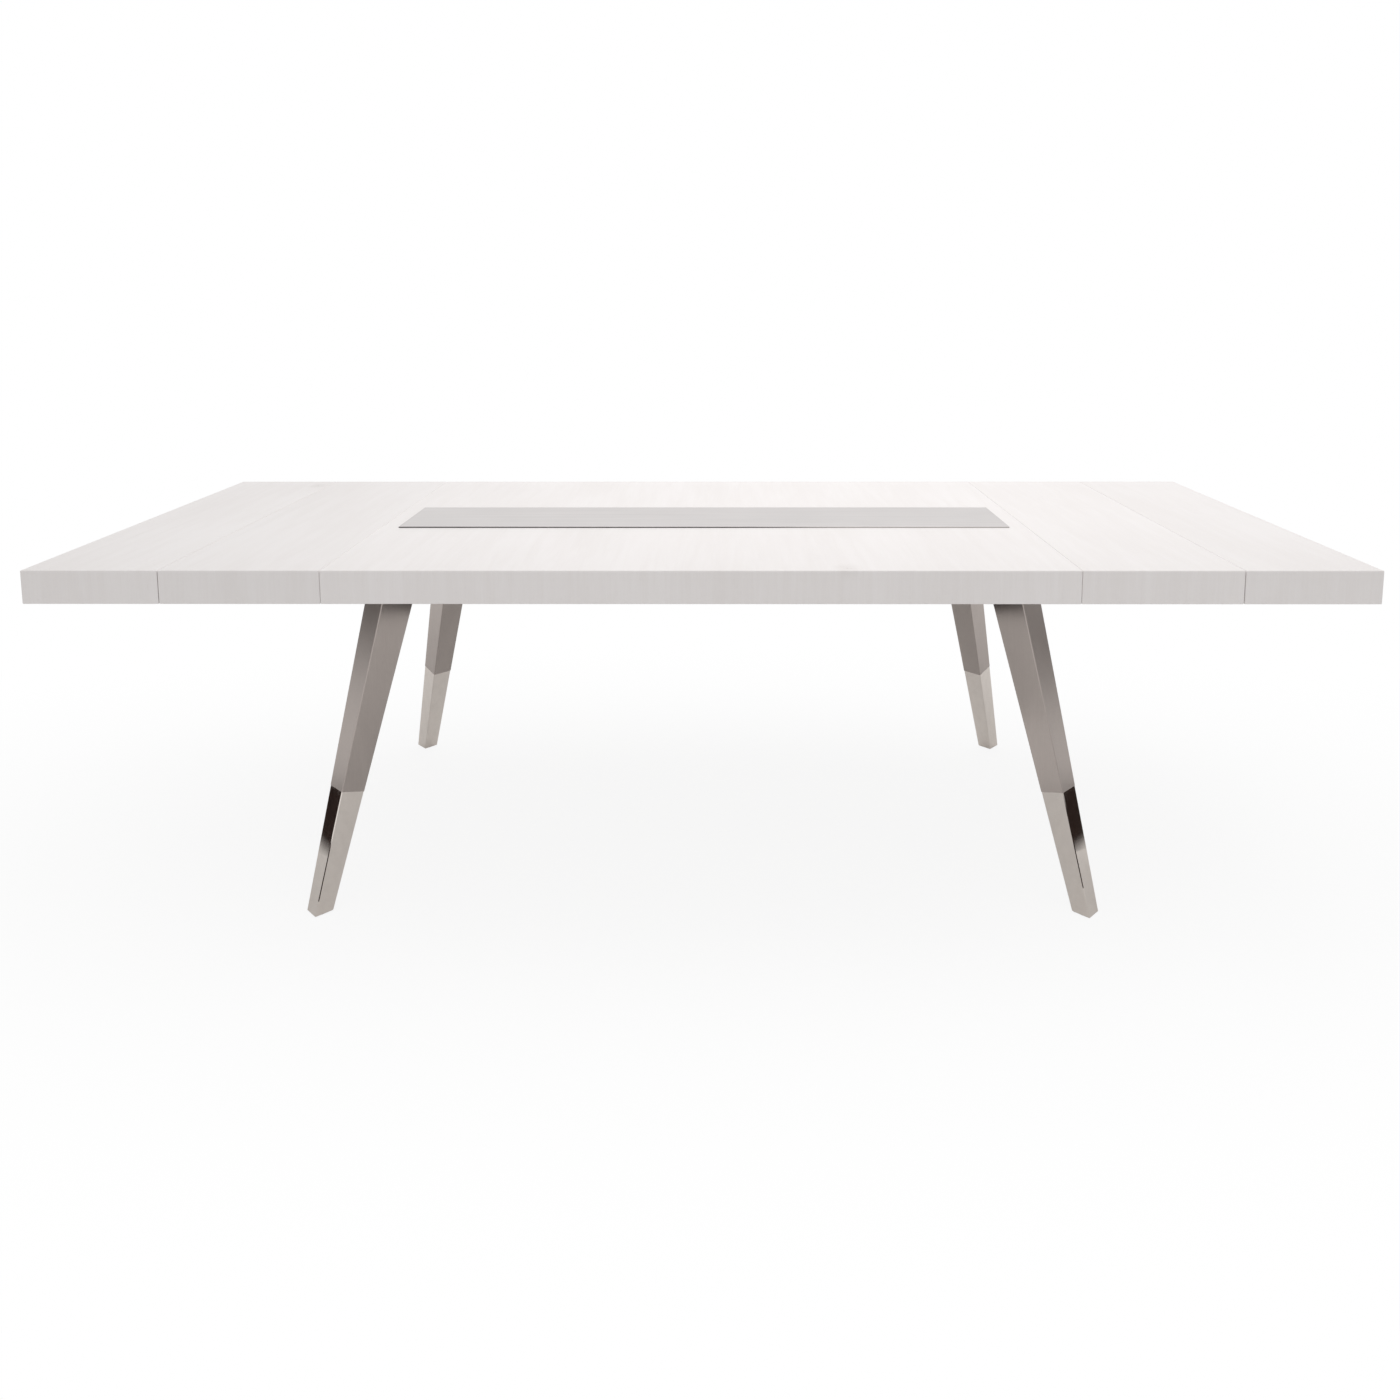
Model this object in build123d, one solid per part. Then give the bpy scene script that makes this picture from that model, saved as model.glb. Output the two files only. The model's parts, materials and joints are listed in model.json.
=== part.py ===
from build123d import *
import os
from math import sqrt

# Extendable dining table, in millimetres. The floor is z = 0 under the middle of
# the table, X runs along the length, the front is at -Y and +Z is up.

# Top
TABLE_HEIGHT = 762
TOP_WIDTH = 1016
CENTRE_LENGTH = 1500
LEAF_WIDTH = 318.5
END_WIDTH = 269.7
CENTRE_SEAM = 0.6       # open joint between the centre and a leaf
END_SEAM = 1.2          # open joint between a leaf and its end
EDGE_HEIGHT = 67.5      # depth of the edge as seen from the side
BOARD_THICK = 23        # panels and edge boards, mitred to each other
ARRIS = 1.2             # flat eased on every outer edge of the boards

# Steel plate in the middle of the top
INLAY_MARGIN = 41.5     # from the centre's ends to the plate
INLAY_WIDTH = 227
INLAY_THICK = 5
INLAY_PROUD = 3         # how far it stands above the wood
INLAY_GAP = 0.5         # clearance all round in its seat

# Legs, square tubes that lean outwards on the diagonal
LEG_SETBACK_X = 81      # from the centre's end to a leg's axis, under its plate
LEG_SETBACK_Y = 222.5   # from the table's front or rear to the same point
LEG_SPLAY = 143         # how far the foot stands out from there, along X and along Y
LEG_TOP_SIDE = 75.5
LEG_FOOT_SIDE = 40
LEG_ARRIS = 1.5         # flat eased on a leg's four long edges
SHAFT_WALL = 3
CAP_LENGTH = 262        # polished lower part, along the leg's axis
CAP_INSET = 0.6         # step from the shaft in to the cap
CAP_FLOOR = 10          # thickness of the cap's closed bottom
FOOT_CHAMFER = 2.2
SPIGOT_LENGTH = 45      # part of the cap that goes up inside the shaft
SPIGOT_FIT = 0.3        # clearance of the spigot in the shaft
SPIGOT_WALL = 2.5

# Foot glides
GLIDE_THICK = 2
GLIDE_INSET = 5         # from the cap's faces in to the glide
GLIDE_STEM_RADIUS = 4
GLIDE_STEM_LENGTH = 7
STEM_FIT = 0.1

# Frame of steel tube under the centre panel
RAIL_WIDTH = 60
RAIL_WALL = 3
RAIL_SETBACK = 15       # from the end of the centre panel to the end of the rail
PLUG_FLANGE = 2.5       # plastic plug over the rail's open end
PLUG_FIT = 0.3          # clearance inside the tube
PLUG_CLEARANCE = 2      # from the plug to the nut of the first axle

# Leg plates
PLATE_THICK = 5
PLATE_MARGIN_X = 11     # plate beyond the leg's corners, along the rail
PLATE_MARGIN_Y = 6      # plate beyond the leg's corners, front and rear
PLATE_CORNER = 8        # cut off the plate's corners

# Lopers, the channels that carry an end and its leaf
LOPER_DEPTH = 24
LOPER_WALL = 3
LOPER_SIDE_GAP = 1      # from the rail's side to the channel's open side
LOPER_CLEARANCE = 2     # above the leg plates
LOPER_END_GAP = 6       # from the outer edge board to the channel's end
LOPER_TAIL = 14         # channel beyond its stop
PACKER_THICK = 4        # between channel and panel, and under the leaves
PACKER_SETBACK = 10     # packers and bearers stand back from the seams
OVERTRAVEL = 80         # how far an end pulls out past the closed joints

# Rollers in the lopers
MOUTH_INSET = 20        # from the rail's end to the first axle
ROLLER_SPACING = 200
ROLLER_PLAY = 0.3       # above and below, in the channel
ROLLER_SIDE_PLAY = 0.3
AXLE_RADIUS = 4
AXLE_FIT = 0.05         # running clearance of a roller on its axle
AXLE_HOLE_FIT = 0.1     # clearance of the axle in the rail's wall
AXLE_HEAD_RADIUS = 7
AXLE_HEAD = 2.5
AXLE_HEAD_GAP = 0.9     # from the axle's head to the channel's web
AXLE_COLLAR = 2         # thin nut between the rail and the roller
AXLE_NUT = 5            # nut inside the rail

# Stops at the inner ends of the lopers
STOP_RADIUS = 4
STOP_REACH = 16         # into the channel
STOP_HEAD_RADIUS = 7
STOP_HEAD = 3.5
STOP_FIT = 0.1
STOP_GAP = 0.3          # left between stop and roller when an end is fully out

# Pins under the leaves
PIN_RADIUS = 4
PIN_DROP = 8            # below the bearer
PIN_FIT = 0.3           # clearance in the loper's holes
PIN_SEAT_FIT = 0.1      # clearance in the bearer

LEFT, RIGHT = -1, 1
FRONT, REAR = -1, 1
SIDE_NAME = {LEFT: "left", RIGHT: "right"}
ROW_NAME = {FRONT: "front", REAR: "rear"}

# Levels
panel_under = TABLE_HEIGHT - BOARD_THICK
edge_bottom = TABLE_HEIGHT - EDGE_HEIGHT
rail_bottom = edge_bottom + PLATE_THICK
loper_top = panel_under - PACKER_THICK
loper_bottom = rail_bottom + LOPER_CLEARANCE
loper_height = loper_top - loper_bottom
roller_level = (loper_top + loper_bottom) / 2

# Legs: the axis at its plate, and how far the level section there reaches along X and Y
centre_end = CENTRE_LENGTH / 2
leg_top_x = centre_end - LEG_SETBACK_X
leg_top_y = TOP_WIDTH / 2 - LEG_SETBACK_Y
leg_height = edge_bottom
leg_length = sqrt(leg_height**2 + 2 * LEG_SPLAY**2)
leg_corner = LEG_TOP_SIDE * (1 + leg_length / leg_height) / 2 / sqrt(2)

# Places along X, on the right-hand half
leaf_start = centre_end + CENTRE_SEAM
leaf_end = leaf_start + LEAF_WIDTH
end_start = leaf_end + END_SEAM
table_end = end_start + END_WIDTH
pin_x = (leaf_start + leaf_end) / 2
rail_end = centre_end - RAIL_SETBACK
mouth_roller_x = rail_end - MOUTH_INSET
tail_roller_x = mouth_roller_x - ROLLER_SPACING
roller_radius = loper_height / 2 - LOPER_WALL - ROLLER_PLAY
stop_x = tail_roller_x - roller_radius - STOP_GAP - STOP_RADIUS - OVERTRAVEL
loper_start = stop_x - LOPER_TAIL
loper_end = table_end - BOARD_THICK - LOPER_END_GAP

# Places along Y, on the rear half
rail_side = leg_top_y + RAIL_WIDTH / 2
loper_inner = rail_side + LOPER_SIDE_GAP
loper_outer = loper_inner + LOPER_DEPTH
loper_web = loper_outer - LOPER_WALL
pin_row = (loper_inner + loper_web) / 2
roller_inner = rail_side + AXLE_COLLAR + ROLLER_SIDE_PLAY
roller_outer = loper_web - AXLE_HEAD_GAP - AXLE_HEAD - ROLLER_SIDE_PLAY


def block(x_span, y_span, z_span):
    """A box from its two limits along each axis, in either order."""
    sizes = [abs(high - low) for low, high in (x_span, y_span, z_span)]
    middle = [(low + high) / 2 for low, high in (x_span, y_span, z_span)]
    return Pos(*middle) * Box(*sizes)


def round_bar(start, direction, length, radius):
    """A cylinder that starts at a point and runs along a direction."""
    return extrude(Plane(origin=start, z_dir=direction) * Circle(radius), length)


def hexagon_bar(start, direction, length, radius):
    """A hexagon bar, by the radius over its corners, that starts at a point."""
    return extrude(Plane(origin=start, z_dir=direction) * RegularPolygon(radius, 6), length)


def folded_slab(x_low, x_high, outer_side=0):
    """The boards of one length of top: a panel with edge boards folded down at
    front and rear, and at its outer end where outer_side is LEFT or RIGHT."""
    slab = block((x_low, x_high), (-TOP_WIDTH / 2, TOP_WIDTH / 2), (edge_bottom, TABLE_HEIGHT))
    slab = chamfer(slab.edges(), ARRIS)
    hollow_low = x_low + BOARD_THICK if outer_side == LEFT else x_low - BOARD_THICK
    hollow_high = x_high - BOARD_THICK if outer_side == RIGHT else x_high + BOARD_THICK
    inner_face = TOP_WIDTH / 2 - BOARD_THICK
    slab -= block(
        (hollow_low, hollow_high), (-inner_face, inner_face), (edge_bottom - BOARD_THICK, panel_under)
    )

    boards = {}
    panel = slab
    for row in (FRONT, REAR):
        mitre = Plane(origin=(0, row * TOP_WIDTH / 2, TABLE_HEIGHT), x_dir=(1, 0, 0), z_dir=(0, -row, 1))
        panel = split(panel, bisect_by=mitre, keep=Keep.TOP)
        boards[ROW_NAME[row] + "_edge"] = split(slab, bisect_by=mitre, keep=Keep.BOTTOM)

    if outer_side:
        outer_x = x_high if outer_side == RIGHT else x_low
        mitre = Plane(origin=(outer_x, 0, TABLE_HEIGHT), x_dir=(0, 1, 0), z_dir=(-outer_side, 0, 1))
        panel = split(panel, bisect_by=mitre, keep=Keep.TOP)
        outer_board = split(slab, bisect_by=mitre, keep=Keep.BOTTOM)
        for row in (FRONT, REAR):
            name = ROW_NAME[row] + "_edge"
            corner = Plane(origin=(outer_x, row * TOP_WIDTH / 2, 0), z_dir=(outer_side, -row, 0))
            boards[name] = split(boards[name], bisect_by=corner, keep=Keep.BOTTOM)
            outer_board = split(outer_board, bisect_by=corner, keep=Keep.TOP)
        boards["outer_edge"] = outer_board

    boards["panel"] = panel
    return boards


def inlay_block(gap, z_low, z_high):
    """The steel plate's outline, grown by a gap, between two levels."""
    half_length = centre_end - INLAY_MARGIN + gap
    half_width = INLAY_WIDTH / 2 + gap
    return block((-half_length, half_length), (-half_width, half_width), (z_low, z_high))


def centre_boards():
    """The fixed middle of the top, with the seat for the steel plate."""
    boards = folded_slab(-centre_end, centre_end)
    seat_bottom = TABLE_HEIGHT + INLAY_PROUD - INLAY_THICK
    boards["panel"] -= inlay_block(INLAY_GAP, seat_bottom, TABLE_HEIGHT + INLAY_PROUD)
    return boards


def inlay_plate():
    """The steel plate, with its upper edges just eased."""
    top = TABLE_HEIGHT + INLAY_PROUD
    plate = inlay_block(0, top - INLAY_THICK, top)
    return chamfer(plate.faces().sort_by(Axis.Z)[-1].edges(), INLAY_GAP)


def leg_plane(side, row):
    """The plane at the foot of a leg, square to its axis, which runs up from the foot."""
    foot = Vector(side * (leg_top_x + LEG_SPLAY), row * (leg_top_y + LEG_SPLAY), 0)
    top = Vector(side * leg_top_x, row * leg_top_y, leg_height)
    return Plane(origin=foot, x_dir=(side, -row, 0), z_dir=top - foot)


def leg_bar(plane, low, high, inset):
    """The leg's tapered square bar between two distances along its axis, set in from its faces."""
    taper = (LEG_TOP_SIDE - LEG_FOOT_SIDE) / leg_length
    high_side = LEG_FOOT_SIDE + taper * high - 2 * inset
    narrowing = taper * (high - low) / 2
    far_side = high_side - narrowing
    wedge = Wedge(high_side, high - low, high_side, narrowing, narrowing, far_side, far_side)
    bar = plane.offset((low + high) / 2) * (Rot(X=-90) * wedge)
    corners = bar.edges().filter_by(lambda edge: abs(edge.tangent_at(0).dot(plane.z_dir)) > 0.5)
    return chamfer(corners, LEG_ARRIS)


def leg_shaft(side, row):
    """The brushed upper part, an open tapered tube cut level under its plate."""
    plane = leg_plane(side, row)
    beyond_top = leg_length + LEG_TOP_SIDE
    tube = leg_bar(plane, CAP_LENGTH, beyond_top, 0)
    tube -= leg_bar(plane, CAP_LENGTH, beyond_top, SHAFT_WALL)
    return split(tube, bisect_by=Plane.XY.offset(leg_height), keep=Keep.BOTTOM)


def leg_cap(side, row):
    """The polished lower part, hollow, with a closed foot and a spigot for the shaft."""
    plane = leg_plane(side, row)
    spigot_inset = SHAFT_WALL + SPIGOT_FIT
    spigot_top = CAP_LENGTH + SPIGOT_LENGTH
    cap = leg_bar(plane, -LEG_FOOT_SIDE, CAP_LENGTH, CAP_INSET)
    cap = split(cap, bisect_by=Plane.XY.offset(GLIDE_THICK), keep=Keep.TOP)
    cap = chamfer(cap.faces().sort_by(Axis.Z)[0].edges(), FOOT_CHAMFER)
    cap += leg_bar(plane, CAP_LENGTH, spigot_top, spigot_inset)
    cavity = leg_bar(plane, 0, spigot_top, spigot_inset + SPIGOT_WALL)
    cap -= split(cavity, bisect_by=Plane.XY.offset(GLIDE_THICK + CAP_FLOOR), keep=Keep.TOP)
    cap -= round_bar(foot_centre(side, row), (0, 0, 1), GLIDE_STEM_LENGTH + STEM_FIT,
                     GLIDE_STEM_RADIUS + STEM_FIT)
    return cap


def foot_centre(side, row):
    """The middle of a cap's bottom face, on the leg's axis."""
    rise = GLIDE_THICK / leg_height
    return (side * (leg_top_x + LEG_SPLAY * (1 - rise)), row * (leg_top_y + LEG_SPLAY * (1 - rise)),
            GLIDE_THICK)


def foot_glide(side, row):
    """A nylon disc under the foot with a stem that presses up into the cap."""
    centre = foot_centre(side, row)
    radius = LEG_FOOT_SIDE / 2 - CAP_INSET - GLIDE_INSET
    disc = round_bar(centre, (0, 0, -1), GLIDE_THICK, radius)
    return disc + round_bar(centre, (0, 0, 1), GLIDE_STEM_LENGTH, GLIDE_STEM_RADIUS)


def leg_plate(side, row):
    """The flat plate on top of a leg, bolted up under the frame rail."""
    half_length = leg_corner + PLATE_MARGIN_X
    half_width = leg_corner + PLATE_MARGIN_Y
    centre_x = side * leg_top_x
    centre_y = row * leg_top_y
    plate = block(
        (centre_x - half_length, centre_x + half_length),
        (centre_y - half_width, centre_y + half_width),
        (edge_bottom, rail_bottom),
    )
    return chamfer(plate.edges().filter_by(Axis.Z), PLATE_CORNER)


def axle_places():
    """The four roller axles along a frame rail, as side, name and place along X."""
    places = []
    for side in (LEFT, RIGHT):
        places.append((side, "mouth", side * mouth_roller_x))
        places.append((side, "tail", side * tail_roller_x))
    return places


def frame_rail(row):
    """A long steel tube with holes for the roller axles."""
    centre_y = row * leg_top_y
    half = RAIL_WIDTH / 2
    bore = half - RAIL_WALL
    tube = block((-rail_end, rail_end), (centre_y - half, centre_y + half), (rail_bottom, panel_under))
    tube -= block(
        (-rail_end, rail_end), (centre_y - bore, centre_y + bore),
        (rail_bottom + RAIL_WALL, panel_under - RAIL_WALL),
    )
    for side, name, x in axle_places():
        tube -= round_bar((x, row * rail_side, roller_level), (0, -row, 0), 2 * RAIL_WALL,
                          AXLE_RADIUS + AXLE_HOLE_FIT)
    return tube


def rail_plug(side, row):
    """The plastic plug that closes one end of a frame rail."""
    centre_y = row * leg_top_y
    half = RAIL_WIDTH / 2
    flange_end = rail_end + PLUG_FLANGE
    flange = block(
        (side * rail_end, side * flange_end), (centre_y - half, centre_y + half), (rail_bottom, panel_under)
    )
    inset = RAIL_WALL + PLUG_FIT
    bore = half - inset
    plug_end = mouth_roller_x + AXLE_HEAD_RADIUS + PLUG_CLEARANCE
    return flange + block(
        (side * rail_end, side * plug_end), (centre_y - bore, centre_y + bore),
        (rail_bottom + inset, panel_under - inset),
    )


def cross_rail(centre_x):
    """A short tube welded between the two long ones."""
    half = RAIL_WIDTH / 2
    reach = leg_top_y - half
    tube = block((centre_x - half, centre_x + half), (-reach, reach), (rail_bottom, panel_under))
    return tube - block(
        (centre_x - half + RAIL_WALL, centre_x + half - RAIL_WALL), (-reach, reach),
        (rail_bottom + RAIL_WALL, panel_under - RAIL_WALL),
    )


def roller_axle(x, row):
    """A bolt clamped on the rail's side by two nuts, with a head that keeps the roller."""
    outward = (0, row, 0)
    nut_face = row * (rail_side - RAIL_WALL)
    axle_start = (x, nut_face - row * AXLE_NUT, roller_level)
    axle_length = RAIL_WALL + AXLE_NUT + roller_outer + ROLLER_SIDE_PLAY + AXLE_HEAD - rail_side
    axle = round_bar(axle_start, outward, axle_length, AXLE_RADIUS)
    axle += hexagon_bar(axle_start, outward, AXLE_NUT, AXLE_HEAD_RADIUS)
    axle += hexagon_bar((x, row * rail_side, roller_level), outward, AXLE_COLLAR, AXLE_HEAD_RADIUS)
    head_start = (x, row * (roller_outer + ROLLER_SIDE_PLAY), roller_level)
    return axle + hexagon_bar(head_start, outward, AXLE_HEAD, AXLE_HEAD_RADIUS)


def roller(x, row):
    """A nylon wheel that carries the loper."""
    start = (x, row * roller_inner, roller_level)
    width = roller_outer - roller_inner
    wheel = round_bar(start, (0, row, 0), width, roller_radius)
    return wheel - round_bar(start, (0, row, 0), width, AXLE_RADIUS + AXLE_FIT)


def loper(side, row):
    """A channel, open towards the frame rail, with holes for its stop and the leaf's pin."""
    x_span = (side * loper_start, side * loper_end)
    channel = block(x_span, (row * loper_inner, row * loper_outer), (loper_bottom, loper_top))
    channel -= block(
        x_span, (row * loper_inner, row * loper_web),
        (loper_bottom + LOPER_WALL, loper_top - LOPER_WALL),
    )
    pin_hole = (side * pin_x, row * pin_row, loper_top)
    channel -= round_bar(pin_hole, (0, 0, -1), LOPER_WALL, PIN_RADIUS + PIN_FIT)
    stop_hole = (side * stop_x, row * loper_outer, roller_level)
    return channel - round_bar(stop_hole, (0, -row, 0), LOPER_WALL, STOP_RADIUS + STOP_FIT)


def loper_stop(side, row):
    """A bolt through the channel's web that meets the tail roller when the end is fully out."""
    seat = (side * stop_x, row * loper_outer, roller_level)
    stop = round_bar(seat, (0, -row, 0), LOPER_WALL + STOP_REACH, STOP_RADIUS)
    return stop + hexagon_bar(seat, (0, row, 0), STOP_HEAD, STOP_HEAD_RADIUS)


def strip_on_loper(side, row, x_low, x_high):
    """A flat strip on top of a loper, as wide as the channel."""
    y_span = (row * loper_inner, row * loper_outer)
    return block((side * x_low, side * x_high), y_span, (loper_top, panel_under))


def end_packer(side, row):
    """The strip that the end panel and its loper are screwed together through."""
    return strip_on_loper(side, row, end_start + PACKER_SETBACK, loper_end)


def leaf_bearer(side, row):
    """The strip under a leaf that rests on the loper, drilled for its pin."""
    bearer = strip_on_loper(side, row, leaf_start + PACKER_SETBACK, leaf_end - PACKER_SETBACK)
    pin_hole = (side * pin_x, row * pin_row, panel_under)
    return bearer - round_bar(pin_hole, (0, 0, -1), PACKER_THICK, PIN_RADIUS + PIN_SEAT_FIT)


def leaf_pin(side, row):
    """A steel pin that drops into the loper and keeps the leaf in place along it."""
    seat = (side * pin_x, row * pin_row, panel_under)
    return round_bar(seat, (0, 0, -1), PACKER_THICK + PIN_DROP, PIN_RADIUS)


def build_parts():
    """Every piece of the table by name, with identical small pieces as one group."""
    nodes = {}
    for name, board in centre_boards().items():
        nodes["centre_" + name] = board
    nodes["inlay_plate"] = inlay_plate()

    for side in (LEFT, RIGHT):
        prefix = SIDE_NAME[side]
        leaf_limits = sorted((side * leaf_start, side * leaf_end))
        for name, board in folded_slab(*leaf_limits).items():
            nodes[f"{prefix}_leaf_{name}"] = board
        end_limits = sorted((side * end_start, side * table_end))
        for name, board in folded_slab(*end_limits, outer_side=side).items():
            nodes[f"{prefix}_end_{name}"] = board
        for row in (FRONT, REAR):
            nodes[f"{prefix}_{ROW_NAME[row]}_loper"] = loper(side, row)
        nodes[f"{prefix}_end_packers"] = [end_packer(side, row) for row in (FRONT, REAR)]
        nodes[f"{prefix}_loper_stops"] = [loper_stop(side, row) for row in (FRONT, REAR)]
        nodes[f"{prefix}_leaf_bearers"] = [leaf_bearer(side, row) for row in (FRONT, REAR)]
        nodes[f"{prefix}_leaf_pins"] = [leaf_pin(side, row) for row in (FRONT, REAR)]

    corners = [(side, row) for row in (FRONT, REAR) for side in (LEFT, RIGHT)]
    for side, row in corners:
        prefix = f"{ROW_NAME[row]}_{SIDE_NAME[side]}_leg"
        nodes[prefix + "_shaft"] = leg_shaft(side, row)
        nodes[prefix + "_cap"] = leg_cap(side, row)
        nodes[prefix + "_plate"] = leg_plate(side, row)
    nodes["foot_glides"] = [foot_glide(side, row) for side, row in corners]

    for row in (FRONT, REAR):
        nodes[ROW_NAME[row] + "_frame_rail"] = frame_rail(row)
        for side, name, x in axle_places():
            nodes[f"{SIDE_NAME[side]}_{ROW_NAME[row]}_{name}_roller"] = roller(x, row)
    nodes["roller_axles"] = [
        roller_axle(x, row) for row in (FRONT, REAR) for side, name, x in axle_places()
    ]
    nodes["rail_end_plugs"] = [rail_plug(side, row) for side, row in corners]
    for name, x in (("left", -leg_top_x), ("middle", 0), ("right", leg_top_x)):
        nodes[name + "_cross_rail"] = cross_rail(x)
    return nodes


os.makedirs("parts", exist_ok=True)
for node_name, shape in build_parts().items():
    pieces = shape if isinstance(shape, list) else [shape]
    solids = [solid for piece in pieces for solid in piece.solids()]
    export_step(solids[0] if len(solids) == 1 else Compound(solids), f"parts/{node_name}.step")
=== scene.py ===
import json
from math import cos, pi, radians, sin

import bmesh
import bpy
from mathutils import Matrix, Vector


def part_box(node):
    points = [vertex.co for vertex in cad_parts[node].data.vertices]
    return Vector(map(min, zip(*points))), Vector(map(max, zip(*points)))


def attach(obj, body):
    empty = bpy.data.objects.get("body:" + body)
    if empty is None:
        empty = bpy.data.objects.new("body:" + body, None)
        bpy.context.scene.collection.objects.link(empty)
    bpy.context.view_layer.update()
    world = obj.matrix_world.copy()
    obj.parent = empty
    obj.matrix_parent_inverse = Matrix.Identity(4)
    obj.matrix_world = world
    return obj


# Extendable dining table, in metres and in the frame of the CAD model: the floor is z = 0 under
# the middle of the table, X runs along the length, the front is at -Y and +Z is up.
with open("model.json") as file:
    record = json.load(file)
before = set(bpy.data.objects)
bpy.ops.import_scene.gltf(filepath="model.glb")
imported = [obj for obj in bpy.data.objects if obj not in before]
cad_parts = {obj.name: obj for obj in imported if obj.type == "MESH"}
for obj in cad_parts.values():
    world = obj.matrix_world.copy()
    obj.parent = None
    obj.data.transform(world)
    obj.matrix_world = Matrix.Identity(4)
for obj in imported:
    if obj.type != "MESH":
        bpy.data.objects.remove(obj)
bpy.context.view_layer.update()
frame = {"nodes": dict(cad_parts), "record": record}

# Places taken from the CAD model
panel_low, panel_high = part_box("centre_panel")
TOP_Z = panel_high.z
PANEL_UNDER = panel_low.z
EDGE_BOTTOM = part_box("centre_front_edge")[0].z
INLAY_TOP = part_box("inlay_plate")[1].z
RAIL_INNER_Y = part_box("rear_frame_rail")[0].y
cap_low, cap_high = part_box("rear_right_leg_cap")
plate_low, plate_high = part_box("rear_right_leg_plate")
LEG_CAP_MIDDLE = (cap_low + cap_high) / 2
LEG_PLATE_MIDDLE = (plate_low + plate_high) / 2

SIDES = {"left": -1, "right": 1}
ROWS = {"front": -1, "rear": 1}
DOWN = (0, 0, -1)

# Colours, linear
WOOD_PALE = (0.885, 0.850, 0.839, 1)
WOOD_DEEP = (0.844, 0.804, 0.788, 1)
WOOD_PORE = (0.640, 0.600, 0.570, 1)
WOOD_KNOT = (0.330, 0.265, 0.215, 1)
BACKER_PALE = (0.330, 0.290, 0.250, 1)
BACKER_DEEP = (0.270, 0.232, 0.195, 1)
LEG_DARK = (0.387, 0.343, 0.318, 1)
LEG_LIGHT = (0.441, 0.391, 0.364, 1)
CAP_CLEAN = (0.730, 0.672, 0.624, 1)
CAP_SMUDGED = (0.706, 0.648, 0.600, 1)
INLAY_DARK = (0.561, 0.535, 0.527, 1)
INLAY_LIGHT = (0.637, 0.609, 0.601, 1)
# Painted shade on the inlaid plate's sides, black on the left and lighter towards the right
PLATE_SIDE_PAINTED_SHADE = (0.030, 0.026, 0.025, 1)
PLATE_SIDE_LIGHTER_SHADE = (0.520, 0.490, 0.475, 1)
PAINT_BLACK = (0.018, 0.018, 0.019, 1)
PAINT_DUSTY = (0.034, 0.033, 0.033, 1)
PLY_DARK = (0.500, 0.350, 0.205, 1)
PLY_LIGHT = (0.640, 0.480, 0.310, 1)
PLY_STRIPE = (0.330, 0.205, 0.110, 1)

# Ranges of a noise over which a surface goes from one look to the other
FIGURE_RANGE = (0.36, 0.64)
PORE_RANGE = (0.66, 0.76)
BRUSHED_RANGE = (0.34, 0.66)
SMUDGE_RANGE = (0.35, 0.70)
THICK_SMUDGE_RANGE = (0.50, 0.80)
DUST_RANGE = (0.40, 0.75)
ZINC_RANGE = (0.35, 0.65)
CLOUD_RANGE = (0.30, 0.70)


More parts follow.
